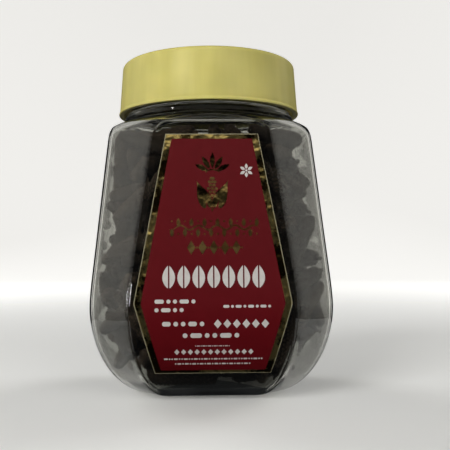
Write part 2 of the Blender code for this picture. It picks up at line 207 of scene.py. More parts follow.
CAP_TOP_PROFILE = (
    (CAP_PANEL_R + 0.15 * MM, CAP_HEIGHT),
    (CAP_PANEL_R, CAP_HEIGHT - 0.05 * MM),
    (CAP_PANEL_R - CAP_PANEL_DEPTH, CAP_PANEL_Z + 0.05 * MM),
    (CAP_PANEL_R - CAP_PANEL_DEPTH - 0.15 * MM, CAP_PANEL_Z),
    (CAP_PANEL_R / 2, CAP_PANEL_Z),
)

# The label's layers: insets at the sides, the foot and the top, lift off the film's back, thickness
FILM = ((0, 0, 0), 0, 0.11 * MM)
GOLD = ((0.22 * MM, 0.2 * MM, 0.2 * MM), 0.05 * MM, 0.08 * MM)
FIELD = ((1.95 * MM, 1.0 * MM, 1.4 * MM), 0.1 * MM, 0.05 * MM)
PRINT_LIFT = 0.13 * MM
PRINT_THICK = 0.04 * MM

# The print's layout, in millimetres across and above the jar's foot
SPIKE_FOOT_Z = 55.2
SPRAY_Z = 64.4
VINE_Z = 49.15
LOZENGES_Z = 43.65
LEAVES_Z = 32.4
FLOWER = (9.5, 65.0)

# Colours of the looks, as a darker and a lighter end where a pattern blends them
JAR_TINT = (0.56, 0.56, 0.53, 1)
SHADOW_TINT = (0.95, 0.95, 0.93, 1)
CAP_COLOURS = ((0.56, 0.50, 0.14), (0.72, 0.64, 0.20))
# Long pepper: near-black painted shade for the grooves between the fruits, and the crowns' own paler colour
GROOVE_SHADE_COLOURS = ((0.004, 0.0028, 0.002), (0.011, 0.0075, 0.005))
CROWN_COLOURS = ((0.030, 0.021, 0.014), (0.125, 0.088, 0.058))
LINER_COLOURS = ((0.7, 0.7, 0.66), (0.8, 0.8, 0.77))
# Gold film: dark and bright ends, blended in patches as painted reflections of dark and bright surroundings
BORDER_GOLD = ((0.05, 0.034, 0.012), (0.74, 0.57, 0.22))
EMBLEM_GOLD = ((0.06, 0.035, 0.015), (0.40, 0.29, 0.11))
ROW_GOLD = ((0.38, 0.23, 0.08), (0.70, 0.48, 0.19))
RED_INK = ((0.092, 0.003, 0.005), (0.118, 0.004, 0.007))
# Label edge: a pale line all round the label, painted as the highlight along its cut edge
EDGE_HIGHLIGHT_COLOURS = ((0.24, 0.21, 0.12), (0.40, 0.36, 0.22))
WHITE_INK = ((0.52, 0.50, 0.47), (0.66, 0.64, 0.60))

# How the patterns of the looks blend
CAP_BLEND = (0.55, 1.0)
STREAK_SHARE = 0.55
STREAK_STRETCH = (1.0, 1.0, 0.06)
CROWN_SHARE = 0.9
# Where the gold's painted reflection patches turn from dark to bright
FOIL_BLEND = (0.46, 0.54)

# Camera: level, 234 mm from the jar's axis, 42 mm above the floor and 1.58 degrees to the left of the label
CAMERA_DISTANCE = 233.6 * MM
CAMERA_HEIGHT = 42.2 * MM
CAMERA_SIDE = math.radians(1.58)
CAMERA_ROLL = math.radians(0.32)
SENSOR = 36.0
FOCAL = 58.24
SHIFT_X = 0.0347
SHIFT_Y = 0.062

# The backdrop's colour, and its glow, which grows between two distances from the jar
BACKDROP_COLOUR = (0.74, 0.74, 0.72, 1)
GLOW_COLOUR = (1.0, 0.985, 0.95, 1)
GLOW_FROM_R = 0.14
GLOW_TO_R = 0.9
GLOW_LEAST = 0.05
GLOW_MOST = 0.70
SURROUND_COLOUR = (0.9, 0.95, 1.0, 1)
SURROUND_STRENGTH = 0.025

# The sweep's profile: radii of the flat floor, then a quarter circle up to the wall, then heights of the wall
FLOOR_RADII = (0.001, 0.06, 0.14, 0.3, 0.6)
SWEEP_CURVE = 0.4
SWEEP_CURVE_STEPS = 16
SWEEP_WALL_R = 1.3
SWEEP_WALL_HEIGHTS = (0.55, 1.7)
SWEEP_SECTORS = 64
SWEEP_SUNK = 0.2 * MM

# Sweep parts: first and last sector, first and last row, seen mirrored in the jar, seen through the jar
SWEEP_PARTS = (
    ("sweep_front", 41, 55, 0, 23, False, False),
    ("floor_near", 55, 105, 0, 2, True, True),
    ("sweep_back", 55, 105, 2, 23, False, True),
)

# Lamps: place, height aimed at, width, height, radiance, colour, seen mirrored in the jar, seen through it
WARM = (1.0, 0.97, 0.90)
GOLDEN = (1.0, 0.95, 0.8)
WHITE = (1, 1, 1)
LAMPS = (
    ("left_box", (-0.42, 0.0, 0.145), 0.08, 0.40, 0.48, 0.42, WARM, True, True),
    ("right_box", (0.42, 0.03, 0.145), 0.08, 0.42, 0.48, 0.27, WARM, True, True),
    ("key", (-0.42, -0.60, 0.42), 0.06, 0.34, 0.34, 12.0, WHITE, False, False),
    ("fill", (0.45, -0.75, 0.45), 0.06, 0.6, 0.6, 2.1, WHITE, False, False),
    ("back_left", (-0.50, 0.60, 0.50), 0.06, 0.4, 0.4, 6.5, WHITE, False, False),
    ("back_right", (0.60, 0.45, 0.50), 0.06, 0.4, 0.4, 6.5, WHITE, False, False),
    ("foil_glow", (0.0, -0.45, 0.45), 0.05, 0.5, 0.2, 0.8, GOLDEN, True, False),
    ("sparkle", (-0.33, -0.28, 0.075), 0.035, 0.018, 0.08, 32.0, WHITE, True, True),
)


def grid_mesh(name, points, faces, material, smooth=True):
    """An object from an array of points and an array of triangles or quads."""
    mesh = bpy.data.meshes.new(name)
    points = np.asarray(points, np.float32)
    faces = np.asarray(faces, np.int32)
    mesh.vertices.add(len(points))
    mesh.vertices.foreach_set("co", points.ravel())
    mesh.loops.add(faces.size)
    mesh.loops.foreach_set("vertex_index", faces.ravel())
    mesh.polygons.add(len(faces))
    mesh.polygons.foreach_set("loop_start", np.arange(0, faces.size, faces.shape[1], dtype=np.int32))
    mesh.polygons.foreach_set("use_smooth", np.full(len(faces), smooth))
    mesh.update(calc_edges=True)
    mesh.validate()
    mesh.materials.append(material)
    obj = bpy.data.objects.new(name, mesh)
    bpy.context.scene.collection.objects.link(obj)
    return obj


def ring_faces(rows, count):
    """Quads of a surface of closed rings, facing out where the rings climb the outside."""
    low = np.arange(rows - 1)[:, None] * count + np.arange(count)[None]
    right = np.arange(rows - 1)[:, None] * count + (np.arange(count)[None] + 1) % count
    return np.stack([low, right, right + count, low + count], -1).reshape(-1, 4)


def section_sizes(z, inset=0.0, floor=0.0):
    """Distances of the wide faces, the corner faces and the shoulder circle from the axis at height z."""
    z = np.asarray(z, float)
    rise = np.clip((z - BELLY_Z) / (TAPER_TOP_Z - BELLY_Z), 0, None)
    drop = np.clip((BELLY_Z - z) / (BELLY_Z - floor), 0, 1)
    tuck = 1 - (1 - drop**BELLY_CURVE) ** (1 / BELLY_CURVE)
    face = FACE_BELLY - inset + (FACE_TOP - FACE_BELLY) * rise - (FACE_BELLY - inset - FACE_FOOT) * tuck
    corner = CORNER_BELLY - inset + (CORNER_TOP - CORNER_BELLY) * rise
    corner = corner - (CORNER_BELLY - inset - CORNER_FOOT) * tuck
    climb = np.clip((z - SHOULDER_LOW_Z) / (SHOULDER_TOP_Z - inset - SHOULDER_LOW_Z), 0, 1)
    shoulder = SHOULDER_R + (SHOULDER_REACH - inset) * np.sqrt(1 - climb**2)
    return face, corner, shoulder + np.clip(SHOULDER_LOW_Z - z, 0, None)


def soft_sizes(z, inset=0.0, floor=0.0):
    """The same sizes with the belly's crease rounded off."""
    z = np.asarray(z, float)
    face, corner, shoulder = section_sizes(z, inset, floor)
    above = z - BELLY_Z
    sharp = np.clip(above, 0, None)
    blend = (above + BELLY_SOFT) ** 2 / (4 * BELLY_SOFT)
    extra = (np.where(np.abs(above) < BELLY_SOFT, blend, sharp) - sharp) / (TAPER_TOP_Z - BELLY_Z)
    return face + (FACE_TOP - FACE_BELLY) * extra, corner + (CORNER_TOP - CORNER_BELLY) * extra, shoulder


def section_radius(angle, sizes):
    """Distance of the skin from the axis at each angle, with the ridges a little rounded."""
    face, corner, shoulder = sizes
    total = shoulder**-RIDGE_SHARPNESS + 0 * angle
    for k in range(8):
        facing = np.clip(np.cos(angle - k * EIGHTH), 0, None)
        total = total + (facing / (corner if k % 2 else face)) ** RIDGE_SHARPNESS
    return total ** (-1 / RIDGE_SHARPNESS)


def ring_angles(sizes, turned):
    """Angles crowded at the ridges, or even ones where turned is 1."""
    face, corner, _ = (float(size) for size in sizes)
    ridge = math.atan2(math.sqrt(2) * corner - face, face)
    flat = FLAT_STEPS * (ridge + RIDGE_STEPS[0])
    half = np.concatenate([flat, ridge + RIDGE_STEPS])
    quarter = np.concatenate([half, [EIGHTH], 2 * EIGHTH - half[:0:-1]])
    angles = (quarter[None] + (np.arange(4) * 2 * EIGHTH)[:, None]).ravel()
    even = np.arange(len(angles)) * TURN / len(angles)
    return angles + turned * (even - angles)


RING_COUNT = len(ring_angles(section_sizes(BELLY_Z), 0.0))
RING_ANGLES = np.arange(RING_COUNT) * TURN / RING_COUNT


def ring_points(angles, radius, z):
    """A ring at height z. The radius may be one number or one for each angle."""
    return np.stack([radius * np.cos(angles), radius * np.sin(angles), np.full(RING_COUNT, z)], -1)


def round_ring(radius, z):
    """A ring with its points evenly spaced."""
    return ring_points(RING_ANGLES, radius, z)


def body_ring(z, inset=0.0, floor=0.0, bead=0.0):
    """A ring of the body. A bead raises a slim frame just inside the ridges of the wide faces."""
    sizes = soft_sizes(z, inset, floor)
    climb = SHOULDER_TOP_Z - inset - SHOULDER_LOW_Z
    turned = float(np.clip((z - SHOULDER_LOW_Z) / climb, 0, 1)) ** 2
    angles = ring_angles(sizes, turned)
    radius = section_radius(angles, sizes)
    if bead:
        radius = radius + bead * panel_bead(angles, radius, z, sizes)
    return ring_points(angles, radius, z)


def panel_bead(angles, radius, z, sizes):
    """How far up the slim frame round each wide face a point is, from 0 to 1."""
    face, corner, shoulder = (float(size) for size in sizes)
    facing = (angles + EIGHTH) % (2 * EIGHTH) - EIGHTH
    from_ridge = math.sqrt(2) * corner - face - np.abs(radius * np.sin(facing))
    from_top = PANEL_TOP_Z - z
    both = (from_ridge < PANEL_CORNER_R) & (from_top < PANEL_CORNER_R)
    rounded = PANEL_CORNER_R - np.hypot(PANEL_CORNER_R - from_ridge, PANEL_CORNER_R - from_top)
    inner = np.where(both, rounded, np.minimum(from_ridge, from_top))
    return np.clip(1 - ((inner - PANEL_INSET) / PANEL_BEAD_HALF) ** 2, 0, 1) * (shoulder > face)


def lower_heights(count, floor=0.0):
    """Heights from the floor to just under the belly, close together at the foot."""
    drop = np.cos(np.arange(count) / count * math.pi / 2) ** (2 / BELLY_CURVE)
    return BELLY_Z - drop * (BELLY_Z - floor)


def taper_heights(count):
    """Heights from the belly to the shoulder, close together where the belly is rounded off."""
    near = np.linspace(BELLY_Z, BELLY_Z + BELLY_SOFT, count, endpoint=False)
    return np.concatenate([near, np.linspace(BELLY_Z + BELLY_SOFT, SHOULDER_LOW_Z, count)])


def shoulder_heights(count, inset=0.0):
    """Heights over the shoulder, close together at its top."""
    climb = SHOULDER_TOP_Z - inset - SHOULDER_LOW_Z
    return SHOULDER_LOW_Z + climb * np.sin(np.arange(1, count + 1) / count * math.pi / 2)


def thread_relief(angles, z, start_z):
    """How far up a one-start thread's flank a point is, from 0 at its root to 1 on its crest."""
    relief = np.zeros_like(angles)
    for lap in range(2):
        turned = angles / TURN + lap
        shown = np.clip(np.minimum(turned, THREAD_TURNS - turned) / THREAD_RUN_OUT, 0, 1)
        off = np.abs(z - start_z - PITCH * turned)
        flank = np.clip((THREAD_ROOT_HALF - off) / (THREAD_ROOT_HALF - THREAD_CREST_HALF), 0, 1)
        relief = np.maximum(relief, shown * flank * flank * (3 - 2 * flank))
    return relief


def closed_skin(rings, start, end):
    """Points and triangles of a surface through rings, closed by a point at either end."""
    count = len(rings[0])
    points = np.concatenate(rings + [np.array([start, end])])
    quads = ring_faces(len(rings), count)
    triangles = np.concatenate([quads[:, [0, 1, 2]], quads[:, [0, 2, 3]]])
    i = np.arange(count)
    j = (i + 1) % count
    top = (len(rings) - 1) * count
    first = np.stack([j, i, np.full(count, len(points) - 2)], -1)
    last = np.stack([top + i, top + j, np.full(count, len(points) - 1)], -1)
    return points, np.concatenate([triangles, first, last])


def make_jar(material):
    """The clear shell, with its slim panel frames, rounded ridges, thread and push-up foot."""
    outer = [lower_heights(LOWER_RINGS), taper_heights(TAPER_RINGS), shoulder_heights(SHOULDER_RINGS)]
    outside = [body_ring(z, bead=PANEL_BEAD) for z in np.concatenate(outer)]
    neck = [round_ring(r, z) for r, z in NECK_PROFILE]
    for z in np.arange(THREAD_LOW_Z, THREAD_TOP_Z, THREAD_RING_STEP):
        relief = thread_relief(RING_ANGLES, z, JAR_THREAD_Z)
        neck.append(round_ring(NECK_R + (JAR_THREAD_CREST_R - NECK_R) * relief, z))
    mid_r = (NECK_R + BORE_R) / 2
    half = (NECK_R - BORE_R) / 2
    for step in range(MOUTH_STEPS + 1):
        turn = step / MOUTH_STEPS * math.pi
        neck.append(round_ring(mid_r + half * math.cos(turn), RIM_Z - RIM_CHAMFER * (1 - math.sin(turn))))
    neck += [round_ring(r, z) for r, z in BORE_PROFILE]
    inner = [
        lower_heights(INNER_LOWER_RINGS, FLOOR)[1:],
        taper_heights(TAPER_RINGS),
        shoulder_heights(INNER_SHOULDER_RINGS, WALL),
    ]
    inside = [body_ring(z, WALL, FLOOR) for z in np.concatenate(inner)[::-1]]
    floor = [round_ring(FOOT_INNER_R * r, FLOOR + PUSH_UP * h) for r, h in DOME]
    underside = [round_ring(FOOT_INNER_R * r, PUSH_UP * h) for r, h in reversed(DOME)]
    rings = underside + [round_ring(FOOT_INNER_R, 0.0)] + outside + neck + inside + floor
    points, faces = closed_skin(rings, (0, 0, PUSH_UP), (0, 0, PUSH_UP + FLOOR))
    jar = grid_mesh("jar_shell", points, faces, material)
    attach(jar, "jar")
    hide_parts("jar")


def make_cap(material):
    """The screw cap: bead at the rim, drafted skirt, rounded top edge, sunk top and inner thread."""
    edge_z = CAP_HEIGHT - CAP_EDGE_R
    roof_z = CAP_HEIGHT - CAP_ROOF
    profile = list(CAP_RIM_PROFILE)
    for share in np.linspace(*SKIRT_SHARES, SKIRT_RINGS):
        radius = CAP_SKIRT_R + (CAP_TOP_R - CAP_SKIRT_R) * share
        profile.append((radius, SKIRT_LOW_Z + share * (edge_z - SKIRT_LOW_Z)))
    for step in range(CAP_EDGE_STEPS + 1):
        turn = step / CAP_EDGE_STEPS * math.pi / 2
        profile.append((CAP_TOP_R - CAP_EDGE_R * (1 - math.cos(turn)), edge_z + CAP_EDGE_R * math.sin(turn)))
    profile += CAP_TOP_PROFILE
    roof_radii = (CAP_PANEL_R / 2, CAP_TOP_R - CAP_WALL - LINING_BEND)
    lining = [round_ring(r, CAP_RIM_Z + roof_z) for r in roof_radii]
    for z in np.arange(roof_z - LINING_BEND, LINING_LOW_Z, -THREAD_RING_STEP):
        wall = CAP_RIM_R - CAP_WALL + (CAP_TOP_R - CAP_RIM_R) * (z / edge_z)
        relief = thread_relief(RING_ANGLES, CAP_RIM_Z + z, JAR_THREAD_Z - PITCH / 2)
        lining.append(round_ring(wall + (CAP_THREAD_CREST_R - wall) * relief, CAP_RIM_Z + z))
    rings = lining + [round_ring(r, CAP_RIM_Z + z) for r, z in profile]
    points, faces = closed_skin(rings, (0, 0, CAP_RIM_Z + roof_z), (0, 0, CAP_RIM_Z + CAP_PANEL_Z))
    cap = grid_mesh("cap_shell", points, faces, material)
    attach(cap, "cap")
    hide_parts("cap")


def nearest_points(a, b):
    """For every pair of spikes, how far along each one its nearest point to the other lies, from 0 to 1."""
    run = b - a
    offset = a[:, None] - a[None]
    squares = (run * run).sum(1)
    cross = run @ run.T
    along_first = (run[:, None] * offset).sum(2)
    along_second = (run[None] * offset).sum(2)
    spread = np.maximum(squares[:, None] * squares[None] - cross**2, 1e-18)
    s = np.clip((cross * along_second - along_first * squares[None]) / spread, 0, 1)
    t = np.clip((cross * s + along_second) / squares[None], 0, 1)
    s = np.clip((cross * t - along_first) / squares[:, None], 0, 1)
    return s, t


def shift_spikes(a, b, spike, share, push):
    """Moves the two ends of each pushed spike, so that its point at that share moves by the push."""
    weight = 1 / ((1 - share) ** 2 + share**2)
    np.add.at(a, spike, push * ((1 - share) * weight)[:, None])
    np.add.at(b, spike, push * (share * weight)[:, None])


def keep_inside(a, b, radius):
    """Pushes spikes back from the jar's inner faces, its shoulder, its floor and the top of the heap."""
    inset = WALL + HEAP_CLEARANCE + radius
    count = len(a)
    spikes = np.arange(count)
    for share in SHARES_KEPT_INSIDE:
        shares = np.full(count, share)
        for k in range(8):
            point = a + share * (b - a)
            sizes = section_sizes(np.clip(point[:, 2], HEAP_LOW_Z + radius, None), inset, FLOOR + radius)
            facing = np.array((math.cos(k * EIGHTH), math.sin(k * EIGHTH), 0.0))
            excess = np.clip(point @ facing - sizes[k % 2], 0, None)
            shift_spikes(a, b, spikes, shares, -excess[:, None] * facing)
        point = a + share * (b - a)
        away = np.hypot(point[:, 0], point[:, 1])
        sizes = section_sizes(point[:, 2], inset)
        excess = np.clip(away - sizes[2], 0, None) / np.maximum(away, 1e-6)
        push = -point * excess[:, None]
        push[:, 2] = np.clip(HEAP_LOW_Z + radius - point[:, 2], 0, None)
        push[:, 2] -= np.clip(point[:, 2] - (HEAP_TOP_Z - radius), 0, None)
        shift_spikes(a, b, spikes, shares, push)


def restore_lengths(a, b, lengths):
    """Puts each spike back to its length, about its middle."""
    middle = (a + b) / 2
    run = b - a
    run *= (lengths / np.linalg.norm(run, axis=1))[:, None] / 2
    a[:] = middle - run
    b[:] = middle + run


def settle_peppers():
    """Where each spike lies, by the same seeded rule as in the part's source."""
    rng = np.random.default_rng(PEPPER_SEED)
    lengths = rng.uniform(PEPPER_SHORTEST, PEPPER_LONGEST, PEPPERS) - 2 * PEPPER_R
    middle = rng.uniform((-1, -1, 0), (1, 1, 1), (PEPPERS, 3))
    middle *= (FACE_BELLY, FACE_BELLY, HEAP_TOP_Z)
    way = rng.normal(size=(PEPPERS, 3)) * (1.0, 1.0, FLATTENED)
    way *= (lengths / np.linalg.norm(way, axis=1))[:, None] / 2
    a, b = middle - way, middle + way
    first, second = np.triu_indices(PEPPERS, 1)
    for step in range(SETTLING_ROUNDS):
        radius = PEPPER_R * min(1.0, GROWN_AT_START + step / SETTLING_ROUNDS)
        s, t = nearest_points(a, b)
        s, t = s[first, second], t[first, second]
        gap = a[first] + s[:, None] * (b - a)[first] - a[second] - t[:, None] * (b - a)[second]
        distance = np.maximum(np.linalg.norm(gap, axis=1), 1e-6)
        near = distance < 2 * radius
        push = gap[near] * ((2 * radius - distance[near]) / distance[near] * PUSHED_APART)[:, None]
        shift_spikes(a, b, first[near], s[near], push)
        shift_spikes(a, b, second[near], t[near], -push)
        restore_lengths(a, b, lengths)
        keep_inside(a, b, radius)
        restore_lengths(a, b, lengths)
    for _ in range(SETTLED_ROUNDS):
        keep_inside(a, b, PEPPER_R)
        restore_lengths(a, b, lengths)
    return a, b


def knob_faces(rows):
    """Triangles of a spike's skin: a fan round each fruit's crown, a stalk below and a tip above."""
    n = FRUITS_ROUND
    j = np.arange(n)
    left, right = (j - 1) % n, (j + 1) % n
    foot, neck, stalk, head, middle = ((3 * rows - 2 + k) * n for k in range(5))
    faces = []
    for row in range(rows):
        low, high = (rows + row) * n, (2 * rows - 1 + row) * n
        if row == 0:
            corners = [foot + left, foot + j]
        elif row % 2:
            corners = [high - n + j, low - n + j, high - n + right]
        else:
            corners = [high - n + left, low - n + left, high - n + j]
        if row == rows - 1:
            corners += [head + j, head + left]
        else:
            corners += [low + j, high + j, low + left]
        for first, second in zip(corners, corners[1:] + corners[:1]):
            faces.append(np.stack([row * n + j, first, second], -1))
    for lower, upper in ((stalk, neck), (neck, foot)):
        faces.append(np.stack([lower + j, lower + right, upper + right], -1))
        faces.append(np.stack([lower + j, upper + right, upper + j], -1))
    faces.append(np.stack([stalk + right, stalk + j, np.full(n, middle)], -1))
    faces.append(np.stack([head + j, head + right, np.full(n, middle + 1)], -1))
    return np.concatenate(faces)


def spike_points(a, b, rng):
    """One spike's points, faces and height on a fruit at each point. The fruits are knobs in spiral rows."""
    run = b - a
    length = np.linalg.norm(run)
    way = run / length
    inward = -(a + b) / 2
    inward -= way * (inward @ way)
    side = inward / np.linalg.norm(inward)
    up = np.cross(way, side)
    start, whole = a - way * PEPPER_R, length + 2 * PEPPER_R
    rows = round((FRUITS_TO - FRUITS_FROM) * whole / FRUIT_ROW)
    row = np.arange(rows)
    odd = row % 2 / 2
    along = np.concatenate([row, row[:-1] + 1 / 3, row[:-1] + 2 / 3])
    share = FRUITS_FROM + (along + FIRST_CROWN) / (rows + SPARE_ROW) * (FRUITS_TO - FRUITS_FROM)
    share = np.concatenate([share, [FRUITS_FROM, *STALK_SHARES, FRUITS_TO]])
    offset = np.concatenate([odd, odd[:-1] + 0.5, odd[:-1], [0.5, 0.5, 0.5, 0.5 + odd[-1]]])
    height = np.concatenate([np.ones(rows), -np.ones(2 * rows - 2), [-1, 0, 0, -1]])[:, None]
    full = np.interp(share, *np.array(SPIKE_PROFILE).T)
    waved = np.sin(share * TURN * 2 + rng.uniform(0, TURN))
    share = share + SPIKE_UNEVEN * waved * share * (1 - share)
    shape = (len(share), FRUITS_ROUND)
    uneven = FRUIT_UNEVEN * np.abs(height) * rng.normal(size=shape)
    radius = PEPPER_R * full[:, None] + FRUIT_RELIEF * (height + uneven)
    radius = radius * (1 + SPIKE_UNEVEN * np.sin(share * TURN * 1.5 + rng.uniform(0, TURN)))[:, None]
    radius = np.clip(radius, SPIKE_LEAST_R, SPIKE_MOST_R)
    astray = FRUIT_ASTRAY * rng.normal(size=shape)
    turn = (np.arange(FRUITS_ROUND) + offset[:, None] + astray) * TURN / FRUITS_ROUND
    turn = turn + share[:, None] * rng.choice((-1.0, 1.0)) * FRUITS_TWIST + rng.uniform(0, TURN)
    bow = PEPPER_BOW * (1 - (2 * share - 1) ** 2)
    centre = start + way * (whole * share)[:, None] + side * bow[:, None]
    outward = side * np.cos(turn)[..., None] + up * np.sin(turn)[..., None]
    points = centre[:, None] + radius[..., None] * outward
    points = np.concatenate([points.reshape(-1, 3), [start, start + way * whole]])
    # How high each point sits on its fruit: the material paints shade by it, near-black in the grooves
    crown = np.concatenate([np.broadcast_to((height + 1) / 2, shape).ravel(), [0.5, 0.0]])
    return points, knob_faces(rows), crown


def make_peppers(material):
    """The heap, in pieces of some seventy spikes each."""
    a, b = settle_peppers()
    rng = np.random.default_rng(PEPPER_SEED + 1)
    order = np.argsort(a[:, 2] + b[:, 2])
    for group in range(math.ceil(PEPPERS / PEPPERS_A_PIECE)):
        points, faces, crowns, tints, used = [], [], [], [], 0
        for spike in order[group * PEPPERS_A_PIECE:(group + 1) * PEPPERS_A_PIECE]:
            spots, triangles, crown = spike_points(a[spike], b[spike], rng)
            points.append(spots)
            faces.append(triangles + used)
            crowns.append(crown)
            tints.append(np.full(len(spots), rng.uniform()))
            used += len(spots)
        piece = grid_mesh(f"long_peppers_{group}", np.concatenate(points), np.concatenate(faces), material)
        for name, values in (("crown", crowns), ("tint", tints)):
            layer = piece.data.attributes.new(name, "FLOAT", "POINT")
            layer.data.foreach_set("value", np.concatenate(values).astype(np.float32))
        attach(piece, "jar")
        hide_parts("long_peppers")


def label_half_width(z):
    """Half the label's width at a height."""
    low = LABEL_LOW_HALF + (LABEL_BELLY_HALF - LABEL_LOW_HALF) * (z - LABEL_LOW_Z) / (BELLY_Z - LABEL_LOW_Z)
    high = LABEL_BELLY_HALF + (LABEL_TOP_HALF - LABEL_BELLY_HALF) * (z - BELLY_Z) / (LABEL_TOP_Z - BELLY_Z)
    return np.where(np.asarray(z) < BELLY_Z, low, high)


def on_face(x, z, lift):
    """Points that stand off the front face by the lift, at that x and height."""
    x, z = np.broadcast_arrays(np.asarray(x, float), np.asarray(z, float))
    step = 0.05 * MM
    face = soft_sizes(z)[0]
    slope = (soft_sizes(z + step)[0] - soft_sizes(z - step)[0]) / (2 * step)
    length = np.hypot(1.0, slope)
    return np.stack([x, -face - lift / length, z - lift * slope / length], -1)


def face_sheet(name, insets, lift, thickness, material, columns=16, rows=64):
    """A thin sheet on the front face in the label's outline, drawn in at the sides, the foot and the top."""
    corners = np.array([LABEL_LOW_Z + insets[1], BELLY_Z, LABEL_TOP_Z - insets[2]])
    z = np.union1d(np.linspace(corners[0], corners[2], rows), [BELLY_Z])
    half = np.interp(z, corners, label_half_width(corners) - insets[0])
    x = half[:, None] * np.linspace(-1, 1, columns)[None]
    front = on_face(x, z[:, None], LABEL_GAP + lift + thickness)
    back = on_face(x, z[:, None], LABEL_GAP + lift)
    ring = [np.concatenate([front[i], back[i, ::-1]]) for i in range(len(z))]
    count = 2 * columns
    j = np.arange(columns - 1)
    low_end = np.stack([j, count - 1 - j, count - 2 - j, j + 1], -1)
    top_end = (len(z) - 1) * count + np.stack([j + 1, count - 2 - j, count - 1 - j, j], -1)
    faces = np.concatenate([ring_faces(len(z), count), low_end, top_end])
    sheet = grid_mesh(name, np.concatenate(ring), faces, material, smooth=False)
    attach(sheet, "jar")
    return sheet


def face_print(name, shapes, material):
    """Flat printed shapes on the front face, each an outline of x and z in millimetres."""
    points, faces, used = [], [], 0
    for shape in shapes:
        outline = np.asarray(shape, float) * MM
        x, z = outline.T
        if np.sum(x * np.roll(z, -1) - np.roll(x, -1) * z) < 0:
            outline = outline[::-1]
            x, z = outline.T
        count = len(outline)
        points += [on_face(x, z, LABEL_GAP + PRINT_LIFT + PRINT_THICK), on_face(x, z, LABEL_GAP + PRINT_LIFT)]
        for p, q, r in tessellate_polygon([[Vector((u, v, 0)) for u, v in outline]]):
            along, across = outline[q] - outline[p], outline[r] - outline[p]
            if along[0] * across[1] - along[1] * across[0] < 0:
                q, r = r, q
            faces.append((used + p, used + q, used + r))
            faces.append((used + count + p, used + count + r, used + count + q))
        for i in range(count):
            j = (i + 1) % count
            faces.append((used + i, used + count + i, used + count + j))
            faces.append((used + i, used + count + j, used + j))
        used += 2 * count
    piece = grid_mesh(name, np.concatenate(points), np.array(faces), material, smooth=False)
    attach(piece, "jar")


def set_inputs(target, values):
    """Sets inputs of a node, by name or number."""
    for name, value in values.items():
        target.inputs[name].default_value = value


def node(tree, kind, inputs=None, **settings):
    """A new node with some inputs and settings of its own."""
    made = tree.nodes.new(kind)
    for name, value in settings.items():
        setattr(made, name, value)
    set_inputs(made, inputs or {})
    return made


def new_material(name):
    """A material with its node tree, its main shader and its output."""
    material = bpy.data.materials.new(name)
    material.use_nodes = True
    tree = material.node_tree
    return material, tree, tree.nodes["Principled BSDF"], tree.nodes["Material Output"]


def noise(tree, scale, detail=2.0, roughness=0.5, stretch=(1.0, 1.0, 1.0)):
    """A noise over the object's own coordinates, which the stretch multiplies first."""
    coord = node(tree, "ShaderNodeTexCoord")
    mapping = node(tree, "ShaderNodeMapping", {"Scale": stretch})
    texture = node(tree, "ShaderNodeTexNoise", {"Scale": scale, "Detail": detail, "Roughness": roughness})
    tree.links.new(coord.outputs["Object"], mapping.inputs["Vector"])
    tree.links.new(mapping.outputs["Vector"], texture.inputs["Vector"])
    return texture.outputs["Fac"]


def ramp(tree, source, colours, positions=(0.0, 1.0)):
    """A blend of two colours by a value that rises from one position to the other."""
    blend = node(tree, "ShaderNodeValToRGB")
    for element, position, colour in zip(blend.color_ramp.elements, positions, colours):
        element.position = position
        element.color = (*colour, 1)
    tree.links.new(source, blend.inputs["Fac"])
    return blend.outputs["Color"]


def add_bump(tree, shader, source, strength, distance):
    """Fine unevenness that is too small for geometry."""
    bump = node(tree, "ShaderNodeBump", {"Strength": strength, "Distance": distance})
    tree.links.new(source, bump.inputs["Height"])
    tree.links.new(bump.outputs["Normal"], shader.inputs["Normal"])


def clear_plastic():
    """Clear smoky plastic. Shadow rays pass it, so that lamps light what is inside."""
    material, tree, shader, output = new_material("clear_plastic_fine")
    set_inputs(shader, {"Base Color": JAR_TINT, "Roughness": 0.03, "IOR": 1.57, "Transmission Weight": 1.0})
    add_bump(tree, shader, noise(tree, scale=70.0, detail=0.0), strength=1.0, distance=0.2 * MM)
    clear = node(tree, "ShaderNodeBsdfTransparent", {"Color": SHADOW_TINT})
    path = node(tree, "ShaderNodeLightPath")
    mix = node(tree, "ShaderNodeMixShader")
    tree.links.new(path.outputs["Is Shadow Ray"], mix.inputs[0])
    tree.links.new(shader.outputs[0], mix.inputs[1])
    tree.links.new(clear.outputs[0], mix.inputs[2])
    tree.links.new(mix.outputs[0], output.inputs[0])
    return material


def yellow_plastic():
    """Satin yellow plastic, with soft clouds and with streaks that run up the skirt."""
    material, tree, shader, _ = new_material("yellow_plastic_fine")
    set_inputs(shader, {"Roughness": 0.38, "Coat Weight": 0.35, "Coat Roughness": 0.14})
    set_inputs(shader, {"Subsurface Weight": 0.15, "Subsurface Radius": (0.002, 0.0015, 0.0005)})
    both = node(tree, "ShaderNodeMath", {1: STREAK_SHARE}, operation="MULTIPLY_ADD")
    streaks = noise(tree, scale=260.0, detail=3.0, stretch=STREAK_STRETCH)
    tree.links.new(streaks, both.inputs[0])
    tree.links.new(noise(tree, scale=60.0), both.inputs[2])
    tree.links.new(ramp(tree, both.outputs["Value"], CAP_COLOURS, CAP_BLEND), shader.inputs["Base Color"])
    add_bump(tree, shader, noise(tree, scale=3500.0), strength=0.12, distance=0.05 * MM)
    return material


